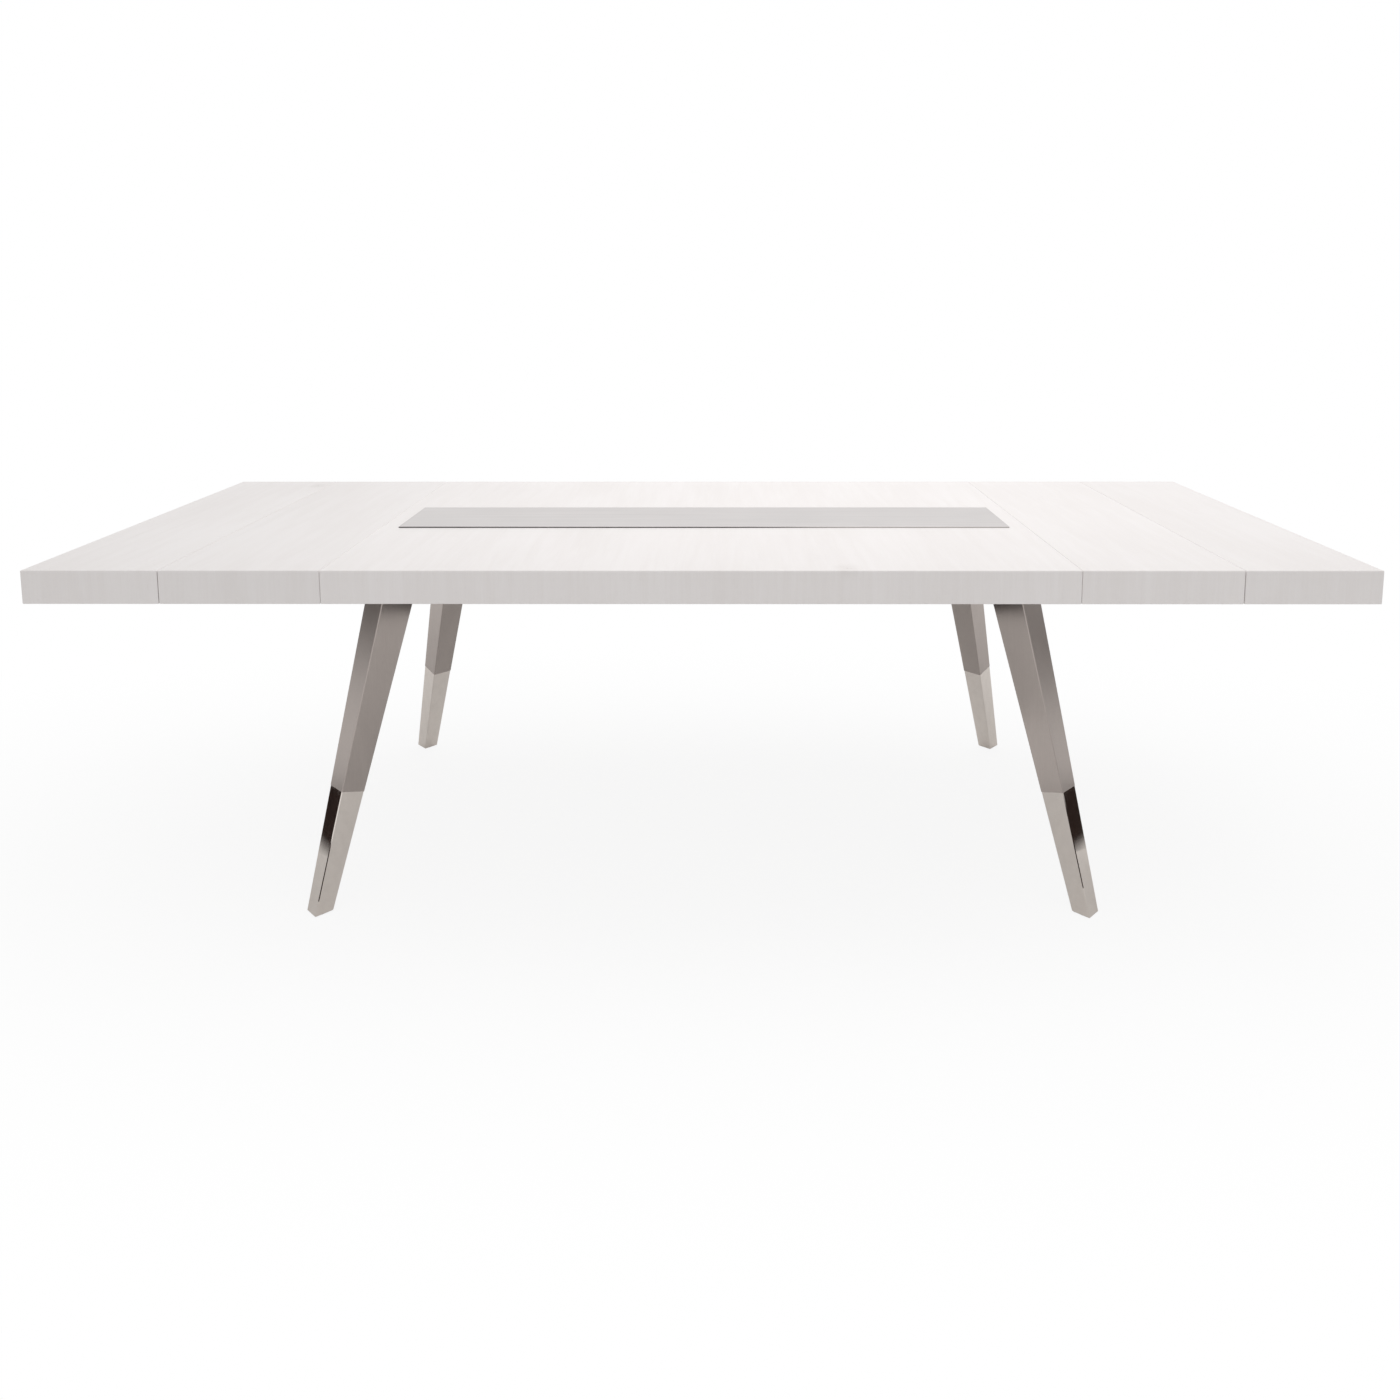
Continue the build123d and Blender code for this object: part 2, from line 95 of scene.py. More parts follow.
class Graph:
    """The node tree of one material, with short calls for the nodes used here."""

    def __init__(self, name):
        self.material = bpy.data.materials.new(name)
        self.material.use_nodes = True
        self.tree = self.material.node_tree
        self.shader = self.tree.nodes["Principled BSDF"]

    def put(self, socket, value):
        """Links an output to a socket, or sets the socket to a plain value."""
        if isinstance(value, bpy.types.NodeSocket):
            self.tree.links.new(value, socket)
        else:
            socket.default_value = value

    def surface(self, **values):
        """Fills the shader's sockets by name, with underscores for spaces."""
        for name, value in values.items():
            self.put(self.shader.inputs[name.replace("_", " ")], value)
        return self.material

    def math(self, operation, *values):
        """One step of arithmetic."""
        node = self.tree.nodes.new("ShaderNodeMath")
        node.operation = operation
        for socket, value in zip(node.inputs, values):
            self.put(socket, value)
        return node.outputs[0]

    def total(self, *values):
        """The sum of several values."""
        result = values[0]
        for value in values[1:]:
            result = self.math("ADD", result, value)
        return result

    def scaled(self, value, factor):
        """A value times a factor."""
        return self.math("MULTIPLY", value, factor)

    def weighted(self, *shares, base=None):
        """The sum of values times their shares, on top of a base if there is one."""
        terms = [self.scaled(value, share) for value, share in shares]
        return self.total(*terms) if base is None else self.total(base, *terms)

    def position(self):
        """The point's own X, Y and Z on the piece at rest."""
        coordinates = self.tree.nodes.new("ShaderNodeTexCoord")
        return self.parts(coordinates.outputs["Object"])

    def normal(self):
        """X, Y and Z of the direction that the face looks in."""
        geometry = self.tree.nodes.new("ShaderNodeNewGeometry")
        return self.parts(geometry.outputs["True Normal"])

    def parts(self, vector):
        """X, Y and Z of a vector."""
        node = self.tree.nodes.new("ShaderNodeSeparateXYZ")
        self.put(node.inputs[0], vector)
        return node.outputs[0], node.outputs[1], node.outputs[2]

    def vector(self, x, y, z):
        """A vector from its X, Y and Z."""
        node = self.tree.nodes.new("ShaderNodeCombineXYZ")
        for socket, value in zip(node.inputs, (x, y, z)):
            self.put(socket, value)
        return node.outputs[0]

    def stretched(self, place, scales):
        """A place with each coordinate times its own scale, in noise cells per metre."""
        return self.vector(*(self.scaled(value, scale) for value, scale in zip(place, scales)))

    def noise(self, vector, detail=2.0, roughness=0.5, distortion=0.0):
        """Smooth noise from 0 to 1, with one cell to each unit of the vector."""
        node = self.tree.nodes.new("ShaderNodeTexNoise")
        self.put(node.inputs["Vector"], vector)
        self.put(node.inputs["Scale"], 1.0)
        self.put(node.inputs["Detail"], detail)
        self.put(node.inputs["Roughness"], roughness)
        self.put(node.inputs["Distortion"], distortion)
        return node.outputs["Fac"]

    def cell_distance(self, vector):
        """Distance to the nearest of the scattered points, one in each unit cell."""
        node = self.tree.nodes.new("ShaderNodeTexVoronoi")
        self.put(node.inputs["Vector"], vector)
        self.put(node.inputs["Scale"], 1.0)
        return node.outputs["Distance"]

    def span(self, value, low, high, to_low=0.0, to_high=1.0):
        """Maps one range of values smoothly to another."""
        node = self.tree.nodes.new("ShaderNodeMapRange")
        node.interpolation_type = "SMOOTHSTEP"
        for socket, number in zip(node.inputs, (value, low, high, to_low, to_high)):
            self.put(socket, number)
        return node.outputs[0]

    def blend(self, factor, first, second):
        """A colour between two colours. The node repeats its sockets' names for each type of
        data, so those for colour are taken by number."""
        node = self.tree.nodes.new("ShaderNodeMix")
        node.data_type = "RGBA"
        self.put(node.inputs[0], factor)
        self.put(node.inputs[6], first)
        self.put(node.inputs[7], second)
        return node.outputs[2]

    def bump(self, height, distance, strength):
        """The normal of a surface with this relief, whose unit is a distance in metres."""
        node = self.tree.nodes.new("ShaderNodeBump")
        self.put(node.inputs["Strength"], strength)
        self.put(node.inputs["Distance"], distance)
        self.put(node.inputs["Height"], height)
        return node.outputs["Normal"]


# Veneer
PORE_TINT = 0.22        # how strongly a pore's colour covers the figure
HALO_TINT = 0.25
KNOT_TINT = 0.75
KNOTS_ACROSS = 3.4      # cells per metre, in few of which the point is near enough for a knot
KNOTS_ALONG = 2.6
KNOT_WANDER = 0.12      # how far a knot's outline wanders, in cells
KNOT_EDGE = (0.010, 0.020)  # distance from the point over which a knot ends, in cells
HALO_EDGE = (0.02, 0.12)    # and the stain around it
FACING = 0.9            # a face looks along an axis when its normal's part there passes this
BACKER_CLEAR = 0.01     # the backing sheet begins this far above the edge boards' lower faces
BACKER_ROUGHER = 0.25


def wood_figure(graph, across, along, seed, tone):
    """Figure, pores and knots of the bleached veneer, as colour, roughness and height."""
    pale, deep = ([*(tone * level for level in wood[:3]), 1] for wood in (WOOD_PALE, WOOD_DEEP))

    def layer(across_scale, along_scale, offset, **settings):
        """Noise drawn out along the grain, by its scales in cells per metre."""
        place = graph.vector(
            graph.scaled(across, across_scale), graph.scaled(along, along_scale), seed + offset
        )
        return graph.noise(place, **settings)

    broad = layer(across_scale=5, along_scale=1.6, offset=0, detail=1)
    flames = layer(
        across_scale=38, along_scale=3.2, offset=11, detail=3, roughness=0.6, distortion=0.4
    )
    streaks = layer(across_scale=210, along_scale=7, offset=23, detail=3, roughness=0.6)
    grain = layer(across_scale=900, along_scale=26, offset=37, detail=2)
    specks = layer(across_scale=1300, along_scale=75, offset=53, detail=1)
    pores = graph.span(specks, *PORE_RANGE)
    figure = graph.weighted((broad, 0.35), (flames, 0.35), (streaks, 0.22), (grain, 0.08))
    colour = graph.blend(graph.span(figure, *FIGURE_RANGE), deep, pale)
    colour = graph.blend(graph.scaled(pores, PORE_TINT), colour, WOOD_PORE)

    uneven = layer(across_scale=60, along_scale=60, offset=71, detail=1)
    wander = graph.scaled(uneven, KNOT_WANDER)
    knot_place = graph.vector(
        graph.math("ADD", graph.scaled(across, KNOTS_ACROSS), wander),
        graph.scaled(along, KNOTS_ALONG),
        seed,
    )
    from_knot = graph.cell_distance(knot_place)
    knots = graph.span(from_knot, *KNOT_EDGE, to_low=1.0, to_high=0.0)
    halo = graph.span(from_knot, *HALO_EDGE, to_low=1.0, to_high=0.0)
    colour = graph.blend(graph.scaled(halo, HALO_TINT), colour, WOOD_PORE)
    colour = graph.blend(graph.scaled(knots, KNOT_TINT), colour, WOOD_KNOT)

    roughness = graph.weighted((streaks, 0.10), (pores, 0.12), base=0.36)
    height = graph.weighted((streaks, 0.35), (grain, 0.35), (pores, -0.6), (knots, -0.5))
    return colour, roughness, height


def veneer(name, seed, tone, at_end):
    """White bleached veneer that folds over the long edges, or over the outer end,
    with a plain backing sheet on the faces turned in under the table."""
    graph = Graph(name)
    x, y, z = graph.position()
    normal_x, normal_y, normal_z = graph.normal()
    drop = graph.math("SUBTRACT", TOP_Z, z)
    if at_end:
        across = graph.math("ADD", x, graph.scaled(graph.math("SIGN", x), drop))
        along = y
        outward = graph.scaled(graph.math("SIGN", x), normal_x)
    else:
        across = x
        along = graph.math("ADD", y, graph.scaled(graph.math("SIGN", y), drop))
        outward = graph.scaled(graph.math("SIGN", y), normal_y)
    colour, roughness, height = wood_figure(graph, across, along, seed, tone)

    turned_in = graph.math("LESS_THAN", outward, -FACING)
    faces_down = graph.math("LESS_THAN", normal_z, -FACING)
    above_edge = graph.math("GREATER_THAN", z, EDGE_BOTTOM + BACKER_CLEAR)
    backed = graph.math("MAXIMUM", turned_in, graph.scaled(faces_down, above_edge))
    fibres = graph.noise(graph.stretched((x, y, z), (35, 9, 35)), detail=5)
    backing = graph.blend(graph.span(fibres, *CLOUD_RANGE), BACKER_DEEP, BACKER_PALE)
    return graph.surface(
        Base_Color=graph.blend(backed, colour, backing),
        Roughness=graph.weighted((backed, BACKER_ROUGHER), base=roughness),
        Normal=graph.bump(height, distance=0.00012, strength=0.5),
        Specular_IOR_Level=0.4,
    )


# Steel of the legs and the inlaid plate
LEG_SEEDS = (3.7, 7.9)          # by side and by row, so that no two legs are alike
INLAY_STEEL_RIM = 0.0006            # depth of plain steel down the plate's sides; below it they are painted shade
PLATE_SIDE_SHADE_FADE_X = (0.05, 0.36)    # over this span of X the painted shade on the plate's sides lightens from black to pale


def leg_axes(graph):
    """The place across, in the lean and along a leg, the same on all four, and a seed for each."""
    x, y, z = graph.position()
    lean_in = LEG_PLATE_MIDDLE.x - LEG_CAP_MIDDLE.x
    height = LEG_PLATE_MIDDLE.z - LEG_CAP_MIDDLE.z
    axis = Vector((lean_in, lean_in, height)).normalized()
    wide = graph.math("ABSOLUTE", x)
    deep = graph.math("ABSOLUTE", y)
    across = graph.math("SUBTRACT", wide, deep)
    lean = graph.math("ADD", wide, deep)
    along = graph.weighted((wide, axis.x), (deep, axis.y), (z, axis.z))
    signs = graph.math("SIGN", x), graph.math("SIGN", y)
    seed = graph.weighted(*zip(signs, LEG_SEEDS))
    return (across, lean, along), seed


def leg_noise(graph, place, seed, across_scale, along_scale, **settings):
    """Noise that differs from leg to leg, by its scales in cells per metre."""
    across, lean, along = place
    moved = graph.vector(
        graph.scaled(across, across_scale),
        graph.scaled(lean, across_scale),
        graph.weighted((along, along_scale), base=seed),
    )
    return graph.noise(moved, **settings)


def brushed_legs(name):
    """Stainless steel brushed along the leg, with broader bands and soft handling marks."""
    graph = Graph(name)
    place, seed = leg_axes(graph)
    hair = leg_noise(
        graph, place, seed, across_scale=2600, along_scale=14, detail=3, roughness=0.7
    )
    bands = leg_noise(graph, place, seed, across_scale=420, along_scale=4, detail=2)
    marks = leg_noise(graph, place, seed, across_scale=14, along_scale=9, detail=2)
    shade = graph.weighted((hair, 0.55), (bands, 0.2), (marks, 0.25))
    return graph.surface(
        Base_Color=graph.blend(graph.span(shade, *BRUSHED_RANGE), LEG_DARK, LEG_LIGHT),
        Metallic=1.0,
        Roughness=graph.weighted((hair, 0.10), (marks, 0.06), base=0.22),
        Normal=graph.bump(hair, distance=0.00006, strength=0.6),
    )


def polished_caps(name):
    """Mirror-polished stainless steel with faint polishing lines and smudges."""
    graph = Graph(name)
    place, seed = leg_axes(graph)
    lines = graph.noise(graph.stretched(place, (2400, 2400, 30)), detail=2)
    smudge = graph.noise(graph.stretched(place, (40, 40, 30)), detail=4, roughness=0.6)
    thick = graph.span(smudge, *THICK_SMUDGE_RANGE)
    waves = leg_noise(graph, place, seed, across_scale=9, along_scale=14)
    height = graph.weighted((waves, 1.0), (lines, 0.01))
    return graph.surface(
        Base_Color=graph.blend(graph.span(smudge, *SMUDGE_RANGE), CAP_CLEAN, CAP_SMUDGED),
        Metallic=1.0,
        Roughness=graph.weighted((thick, 0.07), (lines, 0.02), base=0.035),
        Normal=graph.bump(height, distance=0.0004, strength=0.35),
    )


def brushed_plate(name):
    """Stainless steel brushed along the table's length. Below a thin rim the plate's sides are
    painted dark as shade, lightening towards the right."""
    graph = Graph(name)
    x, y, z = graph.position()

    def flat_noise(x_scale, y_scale, layer, detail):
        """Noise that is the same at every height."""
        place = graph.vector(graph.scaled(x, x_scale), graph.scaled(y, y_scale), layer)
        return graph.noise(place, detail=detail)

    hair = graph.noise(graph.stretched((x, y, z), (9, 1800, 1800)), detail=3)
    bands = flat_noise(x_scale=1.6, y_scale=120, layer=4.0, detail=2)
    marks = flat_noise(x_scale=7, y_scale=16, layer=9.0, detail=4)
    shade = graph.weighted((hair, 0.4), (bands, 0.35), (marks, 0.25))
    sheet = graph.blend(graph.span(shade, *BRUSHED_RANGE), INLAY_DARK, INLAY_LIGHT)
    # Painted shade on the plate's sides: black at the left, lighter towards the right
    painted_side_shade = graph.blend(graph.span(x, *PLATE_SIDE_SHADE_FADE_X), PLATE_SIDE_PAINTED_SHADE, PLATE_SIDE_LIGHTER_SHADE)
    steel = graph.math("GREATER_THAN", z, INLAY_TOP - INLAY_STEEL_RIM)
    return graph.surface(
        Base_Color=graph.blend(steel, painted_side_shade, sheet),
        Metallic=steel,
        Roughness=graph.weighted((hair, 0.12), (marks, 0.05), base=0.28),
        Normal=graph.bump(hair, distance=0.00005, strength=0.5),
    )


# The frame's paint, and the materials of the mechanism
PLY_THICKNESS = 0.0016
PLY_CONTRAST = 0.55


def powder_coat(name):
    """Satin black powder coat with its fine orange peel."""
    graph = Graph(name)
    place = graph.position()
    peel = graph.noise(graph.stretched(place, (650, 650, 650)), detail=1)
    dust = graph.noise(graph.stretched(place, (14, 14, 14)), detail=5)
    return graph.surface(
        Base_Color=graph.blend(graph.span(dust, *DUST_RANGE), PAINT_BLACK, PAINT_DUSTY),
        Roughness=graph.weighted((dust, 0.16), base=0.40),
        Normal=graph.bump(peel, distance=0.0003, strength=0.3),
    )


def zinc(name, dark, light, roughness):
    """Zinc plate: a metal with small cloudy patches and fine scuffs."""
    graph = Graph(name)
    place = graph.position()
    clouds = graph.noise(graph.stretched(place, (55, 90, 90)), detail=4)
    scuffs = graph.noise(graph.stretched(place, (20, 1200, 1200)), detail=2)
    shade = graph.weighted((clouds, 0.7), (scuffs, 0.3))
    return graph.surface(
        Base_Color=graph.blend(graph.span(shade, *ZINC_RANGE), dark, light),
        Metallic=1.0,
        Roughness=graph.weighted((clouds, 0.16), base=roughness),
        Normal=graph.bump(scuffs, distance=0.00004, strength=0.5),
    )


def plastic(name, dark, light, roughness, texture):
    """Moulded plastic with slight clouding and a surface texture of so many pits per metre."""
    graph = Graph(name)
    place = graph.position()
    clouds = graph.noise(graph.stretched(place, (60, 60, 60)), detail=4)
    pits = graph.noise(graph.stretched(place, (texture, texture, texture)), detail=1)
    return graph.surface(
        Base_Color=graph.blend(graph.span(clouds, *CLOUD_RANGE), dark, light),
        Roughness=graph.weighted((pits, 0.10), base=roughness),
        Normal=graph.bump(pits, distance=0.0001, strength=0.4),
    )


def plywood(name):
    """Sealed plywood: face grain along X, and its plies as stripes on the edges."""
    graph = Graph(name)
    x, y, z = graph.position()
    normal_z = graph.normal()[2]
    fibres = graph.noise(graph.stretched((x, y, z), (9, 420, 420)), detail=4)
    depth = graph.math("SUBTRACT", z, PANEL_UNDER)
    ply = graph.math("FRACT", graph.scaled(depth, 1 / PLY_THICKNESS))
    on_edge = graph.math("LESS_THAN", graph.math("ABSOLUTE", normal_z), 0.5)
    stripe = graph.scaled(graph.math("GREATER_THAN", ply, 0.5), on_edge)
    colour = graph.blend(graph.span(fibres, *CLOUD_RANGE), PLY_DARK, PLY_LIGHT)
    return graph.surface(
        Base_Color=graph.blend(graph.scaled(stripe, PLY_CONTRAST), colour, PLY_STRIPE),
        Roughness=graph.weighted((fibres, 0.15), base=0.5),
        Normal=graph.bump(fibres, distance=0.0002, strength=0.5),
    )


materials = {
    "inlay_steel": brushed_plate("inlay_steel"),
    "leg_steel": brushed_legs("leg_steel"),
    "polished_steel": polished_caps("polished_steel"),
    "frame_paint": powder_coat("frame_paint"),
    "loper_zinc": zinc(
        "loper_zinc", dark=(0.420, 0.430, 0.440, 1), light=(0.560, 0.570, 0.580, 1),
        roughness=0.34,
    ),
    "fastener_zinc": zinc(
        "fastener_zinc", dark=(0.540, 0.540, 0.530, 1), light=(0.700, 0.695, 0.680, 1),
        roughness=0.22,
    ),
    "roller_nylon": plastic(
        "roller_nylon", dark=(0.700, 0.680, 0.610, 1), light=(0.800, 0.785, 0.730, 1),
        roughness=0.42, texture=900,
    ),
    "bearer_nylon": plastic(
        "bearer_nylon", dark=(0.640, 0.630, 0.590, 1), light=(0.740, 0.730, 0.700, 1),
        roughness=0.45, texture=700,
    ),
    "glide_nylon": plastic(
        "glide_nylon", dark=(0.060, 0.058, 0.055, 1), light=(0.090, 0.087, 0.083, 1),
        roughness=0.50, texture=800,
    ),
    "plug_plastic": plastic(
        "plug_plastic", dark=(0.012, 0.012, 0.012, 1), light=(0.022, 0.022, 0.022, 1),
        roughness=0.45, texture=1100,
    ),
    "packer_ply": plywood("packer_ply"),
}

# Each length of the top is veneered by itself, with its own seed for the figure and its own tone
VENEERS = {
    "centre": (2.0, 1.0),
    "left_leaf": (15.0, 0.975),
    "right_leaf": (31.0, 1.0),
    "left_end": (47.0, 0.985),
    "right_end": (66.0, 0.99),
}
for section, (seed, tone) in VENEERS.items():
    materials[section] = veneer("veneer_" + section, seed, tone, at_end=False)
for side in SIDES:
    section = side + "_end"
    seed, tone = VENEERS[section]
    materials[section + "_outer"] = veneer("veneer_" + section + "_outer", seed, tone, at_end=True)

for part in frame["record"]["subparts"]:
    node = part["node"]
    key = part["material_slot"]
    if key == "white_wood":
        key = next(section for section in VENEERS if node.startswith(section))
        if node.endswith("_outer_edge"):
            key += "_outer"
    frame["nodes"][node].data.materials.clear()
    frame["nodes"][node].data.materials.append(materials[key])


def piece(name, mesh, body, slot):
    """Adds a finished mesh to the scene, riding on a body."""
    thing = bpy.data.objects.new(name, mesh)
    bpy.context.scene.collection.objects.link(thing)
    mesh.materials.append(materials[slot])
    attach(thing, body)


ROUND_STEPS = 48
HEXAGON_TURN = pi / 3
SHARP_ANGLE = 35        # an edge is left sharp where its faces turn by more degrees than this


def ring_points(radius, hexagon):
    """The points of one ring, a circle or a hexagon by the radius over its corners."""
    points = []
    for step in range(ROUND_STEPS):
        angle = 2 * pi * step / ROUND_STEPS
        reach = radius
        if hexagon:
            reach *= cos(HEXAGON_TURN / 2) / cos(angle % HEXAGON_TURN - HEXAGON_TURN / 2)
        points.append((reach * cos(angle), reach * sin(angle)))
    return points


def join_loops(shape, low, high):
    """Adds the ring of faces between two loops of equally many points."""
    for step in range(len(low)):
        following = (step + 1) % len(low)
        shape.faces.new((low[step], low[following], high[following], high[step]))


def add_turned(shape, seat, direction, rings):
    """Adds a closed turned form on a seat, from rings of radius, height and whether it is a
    hexagon."""
    up = Vector(direction)
    side = up.orthogonal().normalized()
    other = up.cross(side)
    loops = []
    for radius, height, hexagon in rings:
        points = [
            seat + side * u + other * v + up * height for u, v in ring_points(radius, hexagon)
        ]
        loops.append([shape.verts.new(point) for point in points])
    for low, high in zip(loops, loops[1:]):
        join_loops(shape, low, high)
    shape.faces.new(reversed(loops[0]))
    shape.faces.new(loops[-1])


def finished(shape, name, sharp_angle=SHARP_ANGLE):
    """Turns the built form into a mesh that is smooth except at its sharp edges."""
    bmesh.ops.recalc_face_normals(shape, faces=shape.faces)
    for face in shape.faces:
        face.smooth = True
    for edge in shape.edges:
        if len(edge.link_faces) == 2 and edge.calc_face_angle() > radians(sharp_angle):
            edge.smooth = False
    mesh = bpy.data.meshes.new(name)
    shape.to_mesh(mesh)
    shape.free()
    return mesh


# Hexagon bolts with a flange, four under each leg plate
BOLT_END_INSET = 0.014
BOLT_ROW_HALF = 0.020
BOLT_RINGS = [
    (0.0088, 0.0000, False),    # flange with an eased rim
    (0.0092, 0.0003, False),
    (0.0092, 0.0010, False),
    (0.0078, 0.0018, False),
    (0.0065, 0.0018, True),     # hexagon
    (0.0065, 0.0056, True),
    (0.0058, 0.0062, False),    # chamfered top with a shallow dish
    (0.0036, 0.0062, False),
    (0.0031, 0.0057, False),
]
for row in ROWS:
    for side in SIDES:
        low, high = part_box(f"{row}_{side}_leg_plate")
        middle = (low + high) / 2
        bolts = bmesh.new()
        for x in (low.x + BOLT_END_INSET, high.x - BOLT_END_INSET):
            for y in (middle.y - BOLT_ROW_HALF, middle.y + BOLT_ROW_HALF):
                add_turned(bolts, Vector((x, y, low.z)), DOWN, BOLT_RINGS)
        piece(f"{row}_{side}_leg_bolts", finished(bolts, "leg_bolts"), "frame", "fastener_zinc")


# Weld beads
BEAD_RADIUS = 0.0022
BEAD_STEP = 0.0011
BEAD_RIPPLE = 0.14              # share of the radius that comes and goes
BEAD_RIPPLE_LENGTH = 0.0042
BEAD_SIDES = 10
BEAD_SHARP_ANGLE = 80
BEAD_ASIDE = Vector((0.3, 0.4, 0.866))  # a direction that no bead runs in
LEVEL_TOLERANCE = 1e-5
PLACE_DIGITS = 6                # corners that agree to so many decimals are one


def add_bead(shape, path, closed):
    """Adds a rippled weld bead along straight runs between points."""
    corners = path + [path[0]] if closed else path
    samples = []
    for start, end in zip(corners, corners[1:]):
        steps = max(2, int((end - start).length / BEAD_STEP))
        samples += [start.lerp(end, step / steps) for step in range(steps)]
    if not closed:
        samples.append(corners[-1])
    last = len(samples) - 1
    loops = []
    for index, point in enumerate(samples):
        before = samples[index - 1] if closed or index > 0 else point
        after = samples[(index + 1) % len(samples)] if closed or index < last else point
        heading = (after - before).normalized()
        side = heading.cross(BEAD_ASIDE).normalized()
        other = heading.cross(side)
        ripple = abs(sin(pi * index * BEAD_STEP / BEAD_RIPPLE_LENGTH))
        radius = BEAD_RADIUS * (1 - BEAD_RIPPLE + BEAD_RIPPLE * ripple)
        loop = []
        for step in range(BEAD_SIDES):
            angle = 2 * pi * step / BEAD_SIDES
            outward = side * cos(angle) + other * sin(angle)
            loop.append(shape.verts.new(point + outward * radius))
        loops.append(loop)
    if not closed:
        shape.faces.new(reversed(loops[0]))
        shape.faces.new(loops[-1])
    for low, high in zip(loops, loops[1:]):
        join_loops(shape, low, high)
    if closed:
        join_loops(shape, loops[-1], loops[0])


def shaft_top_outline(node):
    """The outer corners of a leg's level top, in order round it."""
    points = [vertex.co.copy() for vertex in frame["nodes"][node].data.vertices]
    level = max(point.z for point in points)
    ring = {
        (round(point.x, PLACE_DIGITS), round(point.y, PLACE_DIGITS))
        for point in points
        if level - point.z < LEVEL_TOLERANCE
    }
    centre = sum((Vector(corner) for corner in ring), Vector((0, 0))) / len(ring)
    by_reach = sorted(ring, key=lambda corner: (Vector(corner) - centre).length)
    outer = by_reach[len(ring) // 2:]
    outer.sort(key=lambda corner: Vector((1, 0)).angle_signed(Vector(corner) - centre))
    return [Vector((x, y, level)) for x, y in outer]


for row in ROWS:
    for side in SIDES:
        bead = bmesh.new()
        add_bead(bead, shaft_top_outline(f"{row}_{side}_leg_shaft"), closed=True)
        mesh = finished(bead, "leg_weld", BEAD_SHARP_ANGLE)
        piece(f"{row}_{side}_leg_weld", mesh, "frame", "frame_paint")

for name in ("left", "middle", "right"):
    low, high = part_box(name + "_cross_rail")
    upper = high.z - BEAD_RADIUS
    beads = bmesh.new()
    for y in (low.y, high.y):
        outline = ((low.x, upper), (low.x, low.z), (high.x, low.z), (high.x, upper))
        add_bead(beads, [Vector((x, y, z)) for x, z in outline], closed=False)
    mesh = finished(beads, "cross_rail_weld", BEAD_SHARP_ANGLE)
    piece(name + "_cross_rail_weld", mesh, "frame", "frame_paint")


# Angle clips that hold the frame up to the panel, with a screw in each flange
CLIP_PLACES = (-0.46, -0.23, 0.23, 0.46)
CLIP_LENGTH = 0.030
CLIP_FLANGE = 0.026
CLIP_DROP = 0.028
CLIP_THICK = 0.002
CLIP_BEND = 0.004
CLIP_BEND_STEPS = 6
CLIP_SCREW_OUT = (CLIP_BEND + CLIP_FLANGE) / 2
CLIP_SCREW_DROP = (CLIP_BEND + CLIP_DROP) / 2
SCREW_RINGS = [
    (0.0042, 0.0000, False),    # pan head
    (0.0045, 0.0004, False),
    (0.0043, 0.0013, False),
    (0.0036, 0.0022, False),
    (0.0025, 0.0026, False),
    (0.0019, 0.0026, True),     # hexagon socket
    (0.0017, 0.0011, True),
]


def clip_profile():
    """The clip's bent strip in its own plane: out from the rail, and down from the panel."""
    outer, inner = [], []
    for bend, points in ((CLIP_BEND, outer), (CLIP_BEND - CLIP_THICK, inner)):
        wall = CLIP_BEND - bend
        points.append((wall, CLIP_DROP))
        for step in range(CLIP_BEND_STEPS + 1):
            angle = pi / 2 * step / CLIP_BEND_STEPS
            points.append((CLIP_BEND - bend * cos(angle), CLIP_BEND - bend * sin(angle)))
        points.append((CLIP_FLANGE, wall))
    return outer + inner[::-1]


def add_clip(shape, x, rail_face, inward):
    """Adds one clip on a rail's inner face, under the panel."""
    ends = []
    for end_x in (x - CLIP_LENGTH / 2, x + CLIP_LENGTH / 2):
        corners = [
            (end_x, rail_face + inward * out, PANEL_UNDER - down) for out, down in clip_profile()
        ]
        ends.append([shape.verts.new(corner) for corner in corners])
    join_loops(shape, *ends)
    for end in ends:
        last = len(end) - 1
        for step in range(len(end) // 2 - 1):
            shape.faces.new((end[step], end[step + 1], end[last - 1 - step], end[last - step]))


for row, sign in ROWS.items():
    rail_face = sign * RAIL_INNER_Y
    clips = bmesh.new()
    screws = bmesh.new()
    for x in CLIP_PLACES:
        add_clip(clips, x, rail_face, -sign)
        under = Vector((x, rail_face - sign * CLIP_SCREW_OUT, PANEL_UNDER - CLIP_THICK))
        add_turned(screws, under, DOWN, SCREW_RINGS)
        beside = Vector((x, rail_face - sign * CLIP_THICK, PANEL_UNDER - CLIP_SCREW_DROP))
        add_turned(screws, beside, (0, -sign, 0), SCREW_RINGS)
    piece(row + "_panel_clips", finished(clips, "panel_clips"), "frame", "loper_zinc")
    piece(row + "_clip_screws", finished(screws, "clip_screws"), "frame", "fastener_zinc")


# Screws inside each loper that hold it up to the end panel through the packer
LOPER_SCREWS = 3
LOPER_SCREW_INSET = 0.030
LOPER_WALL = 0.003
for side, sign in SIDES.items():
    end_low, end_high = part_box(f"{side}_end_panel")
    for row in ROWS:
        low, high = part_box(f"{side}_{row}_loper")
        inner_x = min(abs(end_low.x), abs(end_high.x)) + LOPER_SCREW_INSET
        outer_x = max(abs(low.x), abs(high.x)) - LOPER_SCREW_INSET
        screws = bmesh.new()
        for step in range(LOPER_SCREWS):
            x = sign * (inner_x + (outer_x - inner_x) * step / (LOPER_SCREWS - 1))
            seat = Vector((x, (low.y + high.y) / 2, high.z - LOPER_WALL))
            add_turned(screws, seat, DOWN, SCREW_RINGS)
        mesh = finished(screws, "loper_screws")
        piece(f"{side}_{row}_loper_screws", mesh, side + "_end", "fastener_zinc")


# Studio: a white world that metal reflects too, and a softer level of it as light
WORLD_LIGHT = 0.70
WHITE = (1, 1, 1, 1)


